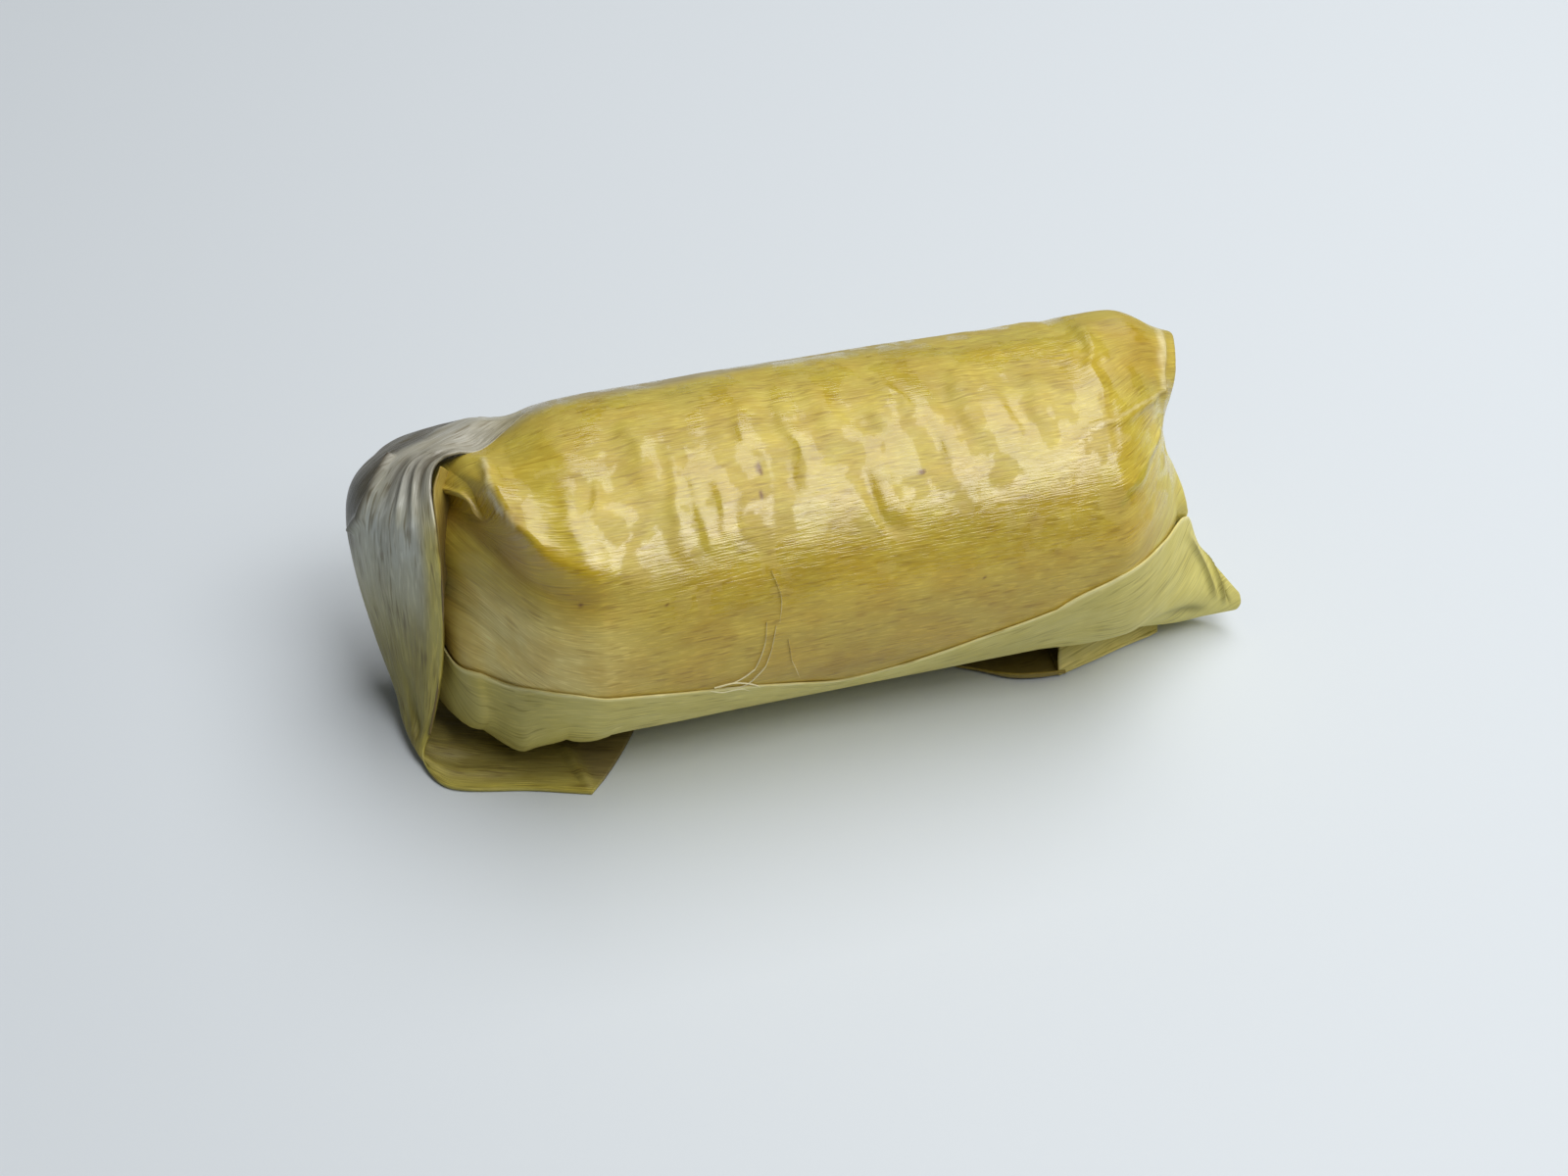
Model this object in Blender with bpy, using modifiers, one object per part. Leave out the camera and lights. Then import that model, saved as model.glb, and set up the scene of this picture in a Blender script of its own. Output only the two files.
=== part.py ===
"""Arem-arem: a rice roll steamed in banana leaf, with its folded leaf ends.

Metres, +Z up. The roll lies along X and rests on Z = 0, with its shown side towards -Y. Its left end, at
-X, is closed by a fold of the leaf whose tongue is tucked under the roll. Its right end, at +X, has an
upstanding ear, a tail that lies on the table and a second tongue.
"""

import math

import bmesh
import bpy
from mathutils import Matrix, Vector

MM = 0.001

# The filled roll
HALF_WIDTH = 23.6 * MM
HEIGHT = 44.0 * MM
LEFT_END = -55.5 * MM
RIGHT_END = 50.0 * MM
CAP_LEFT = 19.0 * MM
CAP_RIGHT = 17.0 * MM
SQUARENESS = 2.15
FOOT_SQUARENESS = 1.65
CAP_SQUARENESS = 1.6
LEFT_CAP_SHARE = 0.23
RIGHT_CAP_SHARE = 0.2
LEFT_SINKS = 2.4 * MM
LEFT_NARROWS = 1.0 * MM
KEEL_LIFT = 2.3 * MM
FLAT_FROM = -16 * MM
FLAT_TO = 6 * MM
LEFT_POLE_BACK = 8.0 * MM
RIGHT_POLE_BACK = 6.0 * MM
POLE_HEIGHT = 24.0 * MM
LIP = 2.4 * MM
LIP_START = 0.11
LIP_SLANT = 480
RINGS = 48
RING_POINTS = 52

# The leaf
LEAF = 0.45 * MM
GAP = 0.4 * MM


def smooth_step(low, high, value):
    """0 below low, 1 above high, and an easy curve between them."""
    share = min(1.0, max(0.0, (value - low) / (high - low)))
    return share * share * (3.0 - 2.0 * share)


def hump(value, centre, width):
    """1 at the centre, falling to nothing about two widths away."""
    return math.exp(-(((value - centre) / width) ** 2))


def turned(angle, degrees):
    """How far an angle lies past a direction given in degrees, from -180 to 180 degrees."""
    return (math.degrees(angle) - degrees + 180) % 360 - 180


def power(value, exponent):
    """A power that keeps the sign of its base."""
    return math.copysign(abs(value) ** exponent, value)


def through(points, share):
    """A smooth curve (Catmull-Rom) through a few points, at a share of its run of points."""
    spans = len(points) - 1
    at = min(max(share, 0.0), 1.0) * spans
    index = min(int(at), spans - 1)
    t = at - index
    p1, p2 = points[index], points[index + 1]
    p0 = points[index - 1] if index > 0 else p1 * 2 - p2
    p3 = points[index + 2] if index + 2 <= spans else p2 * 2 - p1
    return 0.5 * (
        2 * p1
        + (p2 - p0) * t
        + (2 * p0 - 5 * p1 + 4 * p2 - p3) * t * t
        + (3 * p1 - p0 - 3 * p2 + p3) * t * t * t
    )


# ---------------------------------------------------------------- the roll's skin


def station(s):
    """For s from 0 to 1 along the roll: the place x, and how far into either cap it is (0 to 1)."""
    if s < LEFT_CAP_SHARE:
        depth = math.sin((1 - s / LEFT_CAP_SHARE) * math.pi / 2)
        return LEFT_END + CAP_LEFT * (1 - depth), depth
    if s > 1 - RIGHT_CAP_SHARE:
        depth = math.sin((1 - (1 - s) / RIGHT_CAP_SHARE) * math.pi / 2)
        return RIGHT_END - CAP_RIGHT * (1 - depth), depth
    run = (s - LEFT_CAP_SHARE) / (1 - LEFT_CAP_SHARE - RIGHT_CAP_SHARE)
    return LEFT_END + CAP_LEFT + run * (RIGHT_END - CAP_RIGHT - LEFT_END - CAP_LEFT), 0.0


# Corners of the two ends: which end, angle and half angle in degrees, reach in mm, how far filled out
CORNERS = (
    (-1, -50, 28, -2.0, 0.96),
    (-1, 5, 34, -2.4, 0.0),
    (-1, 165, 48, 1.5, 0.92),
    (1, 110, 34, 4.8, 1.0),
    (1, 170, 40, 1.5, 0.9),
    (1, -8, 32, 2.6, 0.66),
    (1, -58, 24, 0.0, 0.94),
)


def skin(s, angle):
    """The roll's skin. The angle runs from 0 at the front over 90 degrees at the top to the back."""
    x, depth = station(s)
    share = max(0.0, 1 - depth**CAP_SQUARENESS) ** (1 / CAP_SQUARENESS)
    half_width = HALF_WIDTH - LEFT_NARROWS * (1 - smooth_step(-50 * MM, -25 * MM, x))
    height = HEIGHT - LEFT_SINKS * (1 - smooth_step(-52 * MM, -8 * MM, x))
    flat = smooth_step(FLAT_FROM - 10 * MM, FLAT_FROM, x) * (1 - smooth_step(FLAT_TO, FLAT_TO + 8 * MM, x))
    keel = KEEL_LIFT * (1 - flat)
    end = -1 if x < 0 else 1
    pole_y = LEFT_POLE_BACK if x < 0 else RIGHT_POLE_BACK
    off_pole = 1 - smooth_step(0.82, 1.0, depth)
    for side, centre, spread, reach, fill in CORNERS:
        if side == end:
            corner = hump(turned(angle, centre), 0, spread) * off_pole
            fill *= 1 - 0.16 * smooth_step(0.5, 0.8, depth)
            share += max(0.0, fill - share) * corner * smooth_step(0.0, 0.3, depth)
            x += end * reach * MM * corner * smooth_step(0.3, 0.8, depth)
    middle = (height - 0.5 * MM) / 2
    squareness, extra = (SQUARENESS, 0.25 * MM) if math.sin(angle) > 0 else (FOOT_SQUARENESS, 0.8 * MM)
    across = power(math.cos(angle), 2 / squareness)
    up = power(math.sin(angle), 2 / squareness)
    y = pole_y * (1 - share) - half_width * share * across
    z = middle + (POLE_HEIGHT - middle) * (1 - share) + (height / 2 + extra) * share * up
    z += 1.1 * MM * off_pole * hump(x, 43 * MM, 8 * MM) * max(0.0, math.sin(angle))
    z -= 2.0 * MM * off_pole * hump(x, -44 * MM, 6.5 * MM) * hump(turned(angle, -48), 0, 28)
    above = turned(angle, 100 - LIP_SLANT * (s - LIP_START))
    lip = LIP * smooth_step(0.05, LIP_START, s) * (1 - smooth_step(0.12, 0.26, s))
    lip *= smooth_step(-3, 3, above) * (1 - smooth_step(6, 60, above))
    y -= lip * math.cos(angle)
    z += lip * math.sin(angle)
    soft = 1.5 * MM
    z = 0.5 * (z + keel + math.sqrt((z - keel) ** 2 + soft**2)) - 0.5 * soft
    return Vector((x, y, max(z, 0.0)))


def lifted(s, angle, lift):
    """A point on the skin, pushed outwards by lift."""
    step = 0.004
    low_s, high_s = max(s - step, 0.001), min(s + step, 0.999)
    along = skin(high_s, angle) - skin(low_s, angle)
    around = skin(s, angle + step) - skin(s, angle - step)
    outwards = along.cross(around)
    if outwards.length < 1e-12:
        return skin(s, angle)
    return skin(s, angle) + outwards.normalized() * lift


# ---------------------------------------------------------------- building


def material(name, colour, roughness):
    """A Principled material of one colour."""
    made = bpy.data.materials.new(name)
    made.use_nodes = True
    shader = made.node_tree.nodes["Principled BSDF"]
    shader.inputs["Base Color"].default_value = (*colour, 1.0)
    shader.inputs["Roughness"].default_value = roughness
    return made


def finish(name, bm, collection, look):
    """Makes a bmesh into a named object in the collection."""
    mesh = bpy.data.meshes.new(name)
    bm.to_mesh(mesh)
    bm.free()
    mesh.shade_smooth()
    made = bpy.data.objects.new(name, mesh)
    made.data.materials.append(look)
    collection.objects.link(made)
    return made


def make_roll(collection, look):
    """The roll: a tube of rings over the skin, closed at both poles."""
    bm = bmesh.new()
    bmesh.ops.create_grid(bm, x_segments=RINGS, y_segments=RING_POINTS, size=0.5)
    for vertex in bm.verts:
        vertex.co = skin(vertex.co.x + 0.5, (vertex.co.y + 0.5) * 2 * math.pi)
    bmesh.ops.remove_doubles(bm, verts=bm.verts, dist=0.01 * MM)
    bmesh.ops.recalc_face_normals(bm, faces=bm.faces)
    return finish("wrapped_roll", bm, collection, look)


def make_sheet(name, place, along, across, collection, look):
    """A thin leaf: a grid set in place, split into triangles and given its thickness."""
    bm = bmesh.new()
    bmesh.ops.create_grid(bm, x_segments=along, y_segments=across, size=0.5)
    for vertex in bm.verts:
        vertex.co = place(vertex.co.x + 0.5, vertex.co.y + 0.5)
    bmesh.ops.triangulate(bm, faces=bm.faces)
    made = finish(name, bm, collection, look)
    thickness = made.modifiers.new("leaf thickness", "SOLIDIFY")
    thickness.thickness = LEAF
    thickness.offset = 1.0
    thickness.use_even_offset = True
    return made


def rails(*rows):
    """Guide curves, given in millimetres, as vectors."""
    return [[Vector(point) * MM for point in row] for row in rows]


def loft(guides, v, u, floor=0.0):
    """A point at v along three guide curves, u of the way across them, and never below the floor."""
    front, middle, back = (through(guide, v) for guide in guides)
    point = front * ((1 - u) * (1 - 2 * u)) + middle * (4 * u * (1 - u)) + back * (u * (2 * u - 1))
    return Vector((point.x, point.y, max(point.z, floor)))


# The front edge, middle and back edge of each end's fold, from the roll's top down and in under it
LEFT_FOLD = rails(
    [(-44, 7, 41.4), (-49, 6.2, 40.2), (-52.8, 4.2, 37.8), (-53.8, -2, 32), (-54.2, -4.5, 24),
     (-55, -5.8, 14), (-56.8, -7.0, 5), (-58.4, -9.5, 1.4), (-55.5, -14.6, 0), (-46, -17.5, 0),
     (-38.2, -20.3, 0)],
    [(-44, 14, 38.6), (-51, 13, 37.5), (-57, 12, 34.7), (-61.5, 10, 29.5), (-62, 8.5, 21), (-60.9, 6, 12),
     (-59.6, 1, 4.5), (-58.8, -4, 1), (-52.5, -7, 0), (-44, -10, 0), (-33, -13.5, 0)],
    [(-44, 19, 35.4), (-51, 20.5, 33.2), (-56, 21, 30), (-59.3, 20.5, 25), (-59.3, 18.5, 17), (-59, 15, 9),
     (-58, 10, 3.5), (-56.5, 5, 0.8), (-50, 1, 0), (-42, -1, 0), (-29, -3, 0)],
)
RIGHT_FOLD = rails(
    [(52.6, 7, 32.0), (52.2, 3.5, 29), (51.8, 0, 24), (52.4, -3, 17),
     (54, -4.5, 9), (53, -2, 3.5), (47, -6, 1.7), (40, -10.6, 1.6), (31.2, -13.7, 2.6)],
    [(53.6, 12, 30), (54, 11, 26), (54, 9, 21), (54, 8, 14),
     (54.6, 4, 7), (54, -4, 1), (48.5, -9.4, 0.5), (40, -12.0, 0.6), (30.6, -15.4, 0.6)],
    [(51, 17, 27.5), (51.8, 16.5, 24), (52.4, 15, 18), (53, 13, 11),
     (53.6, 10, 4), (52, 4, 0.8), (42, 0, 0.7), (28, -3, 0.7), (15, -8, 0.7)],
)
# The band's top edge: shares of the roll's length, with angles round it in degrees
HEM = [Vector(place) for place in (
    (0.055, -34), (0.10, -22), (0.176, -4), (0.25, -2.5), (0.376, -9), (0.493, -19),
    (0.60, -13), (0.705, -2.5), (0.784, 6.5), (0.86, 15), (0.93, 30),
)]
# The tail's middle line, and its half width and half height on the way to its tip
TAIL_LINE, TAIL_SIZE = rails(
    [(41, -8, 12), (49, -9, 10.5), (55, -11.2, 6.6), (59.6, -11.8, 4.6)],
    [(0, 12.5, 11), (0, 6.5, 8.3), (0, 2.3, 4.3), (0, 1.0, 2.0)],
)


def band_place(v, u):
    """The outer leaf along the front foot: v along the roll, u from its tucked edge to its top edge."""
    hem = through(HEM, v)
    tucked = math.radians(-70 + 8 * smooth_step(0.2, 0.35, v) + 6 * smooth_step(0.55, 0.7, v))
    lift = GAP + 0.1 * MM + 0.4 * MM * (1 - smooth_step(0.0, 0.2, v))
    on_roll = lifted(hem.x, tucked + (math.radians(hem.y) - tucked) * u, lift)
    tail = (v - 0.8) / 0.2
    if tail <= 0:
        return on_roll
    turn = math.radians((-75 - 65 * tail) * (1 - u) + (40 + 110 * tail) * u)
    middle, size = through(TAIL_LINE, tail), through(TAIL_SIZE, tail)
    on_tail = middle + Vector((0, -size.y * math.cos(turn), size.z * math.sin(turn)))
    return on_roll.lerp(on_tail, smooth_step(0.3 * u, 0.6 + 0.4 * u, tail))


def centre_on_origin(collection):
    """Moves every mesh so that the whole stands over the origin, its lowest point on Z = 0."""
    depsgraph = bpy.context.evaluated_depsgraph_get()
    corners = []
    for made in collection.objects:
        corners.extend(made.evaluated_get(depsgraph).bound_box)
    low = Vector([min(corner[axis] for corner in corners) for axis in range(3)])
    high = Vector([max(corner[axis] for corner in corners) for axis in range(3)])
    home = Vector(((low.x + high.x) / 2, (low.y + high.y) / 2, low.z))
    for made in collection.objects:
        made.data.transform(Matrix.Translation(-home))


def build():
    for old in list(bpy.data.objects):
        bpy.data.objects.remove(old)
    collection = bpy.data.collections.new("arem_arem")
    bpy.context.scene.collection.children.link(collection)
    golden = material("golden leaf", (0.42, 0.32, 0.06), 0.35)
    pale = material("pale leaf", (0.36, 0.32, 0.13), 0.6)
    grey = material("grey leaf", (0.16, 0.16, 0.11), 0.5)
    olive = material("olive leaf", (0.33, 0.29, 0.12), 0.6)
    make_roll(collection, golden)
    make_sheet("leaf_band", band_place, 48, 9, collection, pale)
    make_sheet("left_fold", lambda v, u: loft(LEFT_FOLD, v, u), 40, 9, collection, grey)
    make_sheet("right_fold", lambda v, u: loft(RIGHT_FOLD, v, u, LEAF + 0.02 * MM), 40, 9, collection, olive)
    centre_on_origin(collection)


build()
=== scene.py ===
import math

import bmesh
import bpy
import numpy as np
from mathutils import Matrix, Vector
from mathutils.bvhtree import BVHTree


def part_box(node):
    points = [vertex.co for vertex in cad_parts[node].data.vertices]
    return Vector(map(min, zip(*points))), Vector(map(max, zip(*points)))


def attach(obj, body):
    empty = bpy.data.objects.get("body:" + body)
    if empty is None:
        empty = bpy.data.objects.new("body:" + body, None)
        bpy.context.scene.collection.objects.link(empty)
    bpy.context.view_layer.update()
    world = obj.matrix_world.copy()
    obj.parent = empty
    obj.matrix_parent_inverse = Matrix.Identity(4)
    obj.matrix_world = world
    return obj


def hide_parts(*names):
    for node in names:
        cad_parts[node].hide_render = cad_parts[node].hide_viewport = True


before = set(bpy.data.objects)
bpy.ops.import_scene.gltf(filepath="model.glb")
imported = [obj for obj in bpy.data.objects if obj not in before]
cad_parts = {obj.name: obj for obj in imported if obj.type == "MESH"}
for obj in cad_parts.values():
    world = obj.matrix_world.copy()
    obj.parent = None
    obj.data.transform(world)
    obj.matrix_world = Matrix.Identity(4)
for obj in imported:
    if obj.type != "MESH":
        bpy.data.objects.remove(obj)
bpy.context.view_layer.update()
rollLow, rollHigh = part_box("wrapped_roll")

# Shapes are worked out in millimetres along the roll and then moved by homeShift into the frame


def ramp(low, high, value):
    # a smooth step from 0 at low up to 1 at high
    share = np.clip((value - low) / (high - low), 0.0, 1.0)
    return share * share * (3.0 - 2.0 * share)


def drop(low, high, value):
    return 1 - ramp(low, high, value)


def between(low, high, value, soft):
    # 1 from low to high, fading out over soft at both ends
    return ramp(low - soft, low, value) * drop(high, high + soft, value)


def hump(value, centre, width):
    return np.exp(-(((value - centre) / width) ** 2))


def turned(angle, degrees):
    return (np.degrees(angle) - degrees + 180.0) % 360.0 - 180.0


def signedPower(value, exponent):
    return np.sign(value) * np.abs(value) ** exponent


def curveAcross(points, share):
    # Catmull-Rom through points, which run along the last axis but one
    spans = points.shape[-2] - 1
    at = np.clip(share, 0.0, 1.0) * spans
    index = np.minimum(at.astype(int), spans - 1)
    t = (at - index)[..., None]
    before = 2 * points[..., :1, :] - points[..., 1:2, :]
    after = 2 * points[..., -1:, :] - points[..., -2:-1, :]
    ends = np.concatenate((before, points, after), axis=-2)
    if ends.ndim == 2:
        p0, p1, p2, p3 = (ends[index + shift] for shift in range(4))
    else:
        picked = (np.take_along_axis(ends, (index + shift)[..., None, None], axis=-2) for shift in range(4))
        p0, p1, p2, p3 = (part[..., 0, :] for part in picked)
    bend = (2 * p0 - 5 * p1 + 4 * p2 - p3) * t * t + (3 * p1 - p0 - 3 * p2 + p3) * t**3
    return 0.5 * (2 * p1 + (p2 - p0) * t + bend)


def curveThrough(points, share):
    return curveAcross(np.asarray(points, float), share)


def loftThrough(rows, v, u):
    # along every row at v, then across the rows at u
    rails = np.stack([curveThrough(row, v) for row in rows], axis=-2)
    return curveAcross(rails, u)


def readOff(table, value):
    # a smooth curve through pairs, read at value
    dense = curveThrough(table, np.linspace(0.0, 1.0, 400))
    return np.interp(value, dense[:, 0], dense[:, 1])


def ripple(x, y, seed):
    # smooth random waves between about -1 and 1, one for each unit of x and y
    values = np.random.default_rng(seed).uniform(-1.0, 1.0, (61, 67))
    column, row = np.floor(x).astype(int), np.floor(y).astype(int)
    tx, ty = ramp(0.0, 1.0, x - column), ramp(0.0, 1.0, y - row)
    near = values[column % 61, row % 67] * (1 - tx) + values[(column + 1) % 61, row % 67] * tx
    far = values[column % 61, (row + 1) % 67] * (1 - tx) + values[(column + 1) % 61, (row + 1) % 67] * tx
    return near * (1 - ty) + far * ty


def lineAway(x, y, points):
    # how far each place is from a line, on which side, and the share of the line it is at
    points = np.asarray(points, float)
    lengths = np.linalg.norm(np.diff(points, axis=0), axis=1)
    starts = np.concatenate(((0.0,), np.cumsum(lengths)))
    nearest, side, place = np.full(np.shape(x), 1e9), np.zeros(np.shape(x)), np.zeros(np.shape(x))
    for index, length in enumerate(lengths):
        step = (points[index + 1] - points[index]) / length
        fromX, fromY = x - points[index, 0], y - points[index, 1]
        run = np.clip(fromX * step[0] + fromY * step[1], 0.0, length)
        away = np.hypot(fromX - run * step[0], fromY - run * step[1])
        closer = away < nearest
        nearest = np.where(closer, away, nearest)
        side = np.where(closer, np.sign(step[0] * fromY - step[1] * fromX), side)
        place = np.where(closer, (starts[index] + run) / starts[-1], place)
    return nearest, side, place


def creaseHeight(x, y, points, width, height, lean=0.0):
    # a ridge or groove that fades out at both ends; lean makes it a step that falls to one side
    away, side, place = lineAway(x, y, points)
    away = away / width
    taper = ramp(-0.02, 0.3, place) * drop(0.7, 1.02, place)
    return height * taper * np.exp(-(away**2)) * (1 - abs(lean) + 2.33 * lean * side * away)


# The roll's skin, as the CAD has it, but for the hollow under the hood's lip

rollShape = {
    "halfWidth": 23.6, "height": 44.0, "leftEnd": -55.5, "rightEnd": 50.0, "leftCap": 19.0, "rightCap": 17.0,
    "squareness": 2.15, "footSquareness": 1.65, "capSquareness": 1.6,
    "leftCapShare": 0.23, "rightCapShare": 0.2,
    "leftSinks": 2.4, "leftNarrows": 1.0, "keelLift": 2.3, "flatFrom": -16.0, "flatTo": 6.0,
    "leftPoleBack": 8.0, "rightPoleBack": 6.0, "poleHeight": 24.0,
    "lip": (  # share of the length, height in mm
        (0.05, 0), (0.075, 0.9), (0.1, 2.2), (0.12, 3.1), (0.138, 4.3), (0.152, 5), (0.168, 4.7),
        (0.19, 3.3), (0.21, 2.2), (0.235, 1.2), (0.26, 0.5), (0.29, 0)),
    "lipLine": (  # share of the length, degrees round the roll
        (0.05, 108), (0.083, 97), (0.101, 90), (0.12, 79), (0.136, 69), (0.15, 60), (0.163, 53), (0.182, 46),
        (0.213, 41), (0.26, 38)),
    "corners": (  # end, angle and spread in degrees, reach, how far filled out
        (-1, -50, 28, -2, 0.96), (-1, 5, 34, -2.4, 0), (-1, 165, 48, 1.5, 0.92), (1, 110, 34, 4.8, 1),
        (1, 170, 40, 1.5, 0.9), (1, -8, 32, 2.6, 0.66), (1, -58, 24, 0, 0.94)),
    "earTip": (54.2, 7.6, 37.6), "earReach": 6.0, "earPull": 0.9,
    # height, place along and half length in mm, angle and spread in degrees
    "brow": (0.9, -33, 9, 112, 30), "pinch": (-2.0, -44, 6.5, -48, 28),
    "rightCrown": (1.1, 43, 8),
    "footEdge": 1.5,  # how softly the skin bends into its flat foot, in mm
}
homeShift = np.array((rollLow.x * 1000 - rollShape["leftEnd"], (rollLow.y + rollHigh.y) * 500, 0.0))


def station(s):
    shape = rollShape
    leftDepth = np.sin(np.clip(1 - s / shape["leftCapShare"], 0, 1) * math.pi / 2)
    rightDepth = np.sin(np.clip(1 - (1 - s) / shape["rightCapShare"], 0, 1) * math.pi / 2)
    bodyFrom, bodyTo = shape["leftEnd"] + shape["leftCap"], shape["rightEnd"] - shape["rightCap"]
    run = (s - shape["leftCapShare"]) / (1 - shape["leftCapShare"] - shape["rightCapShare"])
    x = bodyFrom + np.clip(run, 0, 1) * (bodyTo - bodyFrom)
    return x - leftDepth * shape["leftCap"] + rightDepth * shape["rightCap"], leftDepth + rightDepth


def lipAngle(s):
    return readOff(rollShape["lipLine"], s)


def swelling(x, angle, values):
    height, centre, reach, degrees, spread = values
    return height * hump(x, centre, reach) * hump(turned(angle, degrees), 0, spread)


def rollSkin(s, angle, hooded=False):
    shape = rollShape
    x, depth = station(s)
    share = np.maximum(0.0, 1 - depth ** shape["capSquareness"]) ** (1 / shape["capSquareness"])
    halfWidth = shape["halfWidth"] - shape["leftNarrows"] * drop(-50, -25, x)
    height = shape["height"] - shape["leftSinks"] * drop(-52, -8, x)
    flat = ramp(shape["flatFrom"] - 10, shape["flatFrom"], x)
    flat = flat * drop(shape["flatTo"], shape["flatTo"] + 8, x)
    keel = shape["keelLift"] * (1 - flat)
    end = np.where(x < 0, -1, 1)
    poleBack = np.where(x < 0, shape["leftPoleBack"], shape["rightPoleBack"])
    offPole = drop(0.82, 1.0, depth)
    for side, centre, spread, reach, fill in shape["corners"]:
        corner = np.where(end == side, hump(turned(angle, centre), 0, spread), 0.0) * offPole
        filled = fill * (1 - 0.16 * ramp(0.5, 0.8, depth))
        share = share + np.maximum(0.0, filled - share) * corner * ramp(0.0, 0.3, depth)
        x = x + side * reach * corner * ramp(0.3, 0.8, depth)
    middle = (height - 0.5) / 2
    upper = np.sin(angle) > 0
    exponent = 2 / np.where(upper, shape["squareness"], shape["footSquareness"])
    extra = np.where(upper, 0.25, 0.8)
    across, up = signedPower(np.cos(angle), exponent), signedPower(np.sin(angle), exponent)
    y = poleBack * (1 - share) - halfWidth * share * across
    z = middle + (shape["poleHeight"] - middle) * (1 - share) + (height / 2 + extra) * share * up
    z = z + swelling(x, angle, shape["brow"])
    height, centre, reach = shape["rightCrown"]
    z = z + offPole * height * hump(x, centre, reach) * np.maximum(0.0, np.sin(angle))
    z = z + offPole * swelling(x, angle, shape["pinch"])
    above = turned(angle, lipAngle(s))
    tucked = drop(0.128, 0.156, s)
    rises = ramp(-9, 6, above) * (1 - tucked) + ramp(1, 14, above) * tucked
    if hooded:
        free = drop(0.118, 0.146, s)
        rises = free + rises * (1 - free)
    lip = readOff(shape["lip"], s) * rises * drop(6, 60, above)
    y = y - lip * np.cos(angle)
    z = z + lip * np.sin(angle)
    soft = shape["footEdge"]
    z = 0.5 * (z + keel + np.sqrt((z - keel) ** 2 + soft**2)) - 0.5 * soft
    place = np.stack((x, y, np.maximum(z, 0.0)), axis=-1)
    toTip = np.array(shape["earTip"]) - place
    pull = np.clip(1 - np.linalg.norm(toTip, axis=-1) / shape["earReach"], 0, 1) ** 1.5
    return place + toTip * (shape["earPull"] * pull)[..., None]


def normalOf(lengthwise, across):
    outwards = np.cross(lengthwise, across)
    return outwards / np.maximum(np.linalg.norm(outwards, axis=-1, keepdims=True), 1e-9)


def outwardsOf(place, v, u, step=0.003):
    lengthwise = place(np.minimum(v + step, 1.0), u) - place(np.maximum(v - step, 0.0), u)
    return normalOf(lengthwise, place(v, np.minimum(u + step, 1.0)) - place(v, np.maximum(u - step, 0.0)))


def rollOutwards(s, angle, hooded=False, step=0.004):
    lengthwise = rollSkin(np.minimum(s + step, 0.999), angle, hooded)
    lengthwise = lengthwise - rollSkin(np.maximum(s - step, 0.001), angle, hooded)
    return normalOf(lengthwise, rollSkin(s, angle + step, hooded) - rollSkin(s, angle - step, hooded))


# The outer leaf along the front foot, whose top edge is the hem and whose right end is the tail

bandShape = {
    "hem": (  # share of the roll's length, degrees round it
        (0.04, -60), (0.06, -45), (0.07, -36), (0.079, -30.5), (0.088, -27.8), (0.103, -26), (0.12, -22.3),
        (0.141, -16), (0.176, -5.8), (0.209, -0.3), (0.247, -2.2), (0.311, -7.3), (0.376, -12), (0.435, -18),
        (0.493, -24.2), (0.547, -21.3), (0.6, -15.7), (0.651, -9.5), (0.705, -3), (0.743, 2.8), (0.782, 7),
        (0.811, 10.2), (0.86, 9)),
    "lift": 0.08, "leaf": 0.24, "from": 0.045, "perShare": 0.943,
    "pouch": (  # share of the roll's length, how far the band bulges in mm
        (0.04, 3.6), (0.075, 5), (0.1, 4.6), (0.12, 3.3), (0.14, 1.6), (0.16, 0.4), (0.18, 0), (0.21, 0.3),
        (0.24, 0.2), (0.29, 0), (0.97, 0)),
    "pouchAt": 0.32, "pouchSize": 0.36,
    "tailFrom": 0.74, "tailTo": 0.84,
    "tail": (  # from the tucked edge up to the hem, each from the foot to the tip
        ((26.1, -11, 3), (31, -10.6, 3.2), (36, -9.6, 3.2), (42.4, -8.6, 2.6), (49, -8.4, 1.8),
         (54.4, -9.2, 1.2), (59.3, -11.3, 2.3)),
        ((26.1, -17.5, 6.2), (31, -16.8, 6.4), (36.2, -15.2, 6.6), (42.6, -14.2, 5.2), (49.6, -13.5, 3.8),
         (55, -12.5, 3), (59.9, -12.5, 3)),
        ((26.1, -22.5, 12), (31, -22.4, 12), (36.2, -21.5, 11.8), (43, -18.5, 11), (50.3, -15, 9.6),
         (55.4, -13.2, 7), (60.4, -12.6, 4.2)),
        ((26.1, -24, 18), (31, -23.9, 18.5), (36.2, -22.8, 18.5), (42.8, -18.6, 17.5), (50.2, -12.8, 15),
         (55.1, -10.6, 11), (60.1, -11.9, 5.4)),
        ((26.1, -23.7, 22.3), (31, -23.6, 24), (36.2, -22, 25), (42.5, -16.9, 23.4), (49.6, -10.2, 20.6),
         (54.9, -7.6, 11), (59.7, -10.7, 5))),
}


def bandPlace(v, u):
    shape = bandShape
    s = shape["from"] + v * shape["perShare"]
    hem = readOff(shape["hem"], s)
    tucked = -104 + 34 * ramp(0.14, 0.3, s) + 6 * ramp(0.55, 0.7, s)
    angle = np.radians(tucked + (hem - tucked) * u)
    pouch = readOff(shape["pouch"], s) * hump(u, shape["pouchAt"], shape["pouchSize"])
    s = np.minimum(s, 0.96)
    onRoll = rollSkin(s, angle) + rollOutwards(s, angle) * (shape["lift"] + pouch)[..., None]
    tail = np.clip((v - shape["tailFrom"]) / (1 - shape["tailFrom"]), 0.0, 1.0)
    weight = ramp(shape["tailFrom"], shape["tailTo"], v)[..., None]
    return onRoll * (1 - weight) + loftThrough(shape["tail"], tail, u) * weight


# Wrinkles pressed into the roll's leaf

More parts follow.
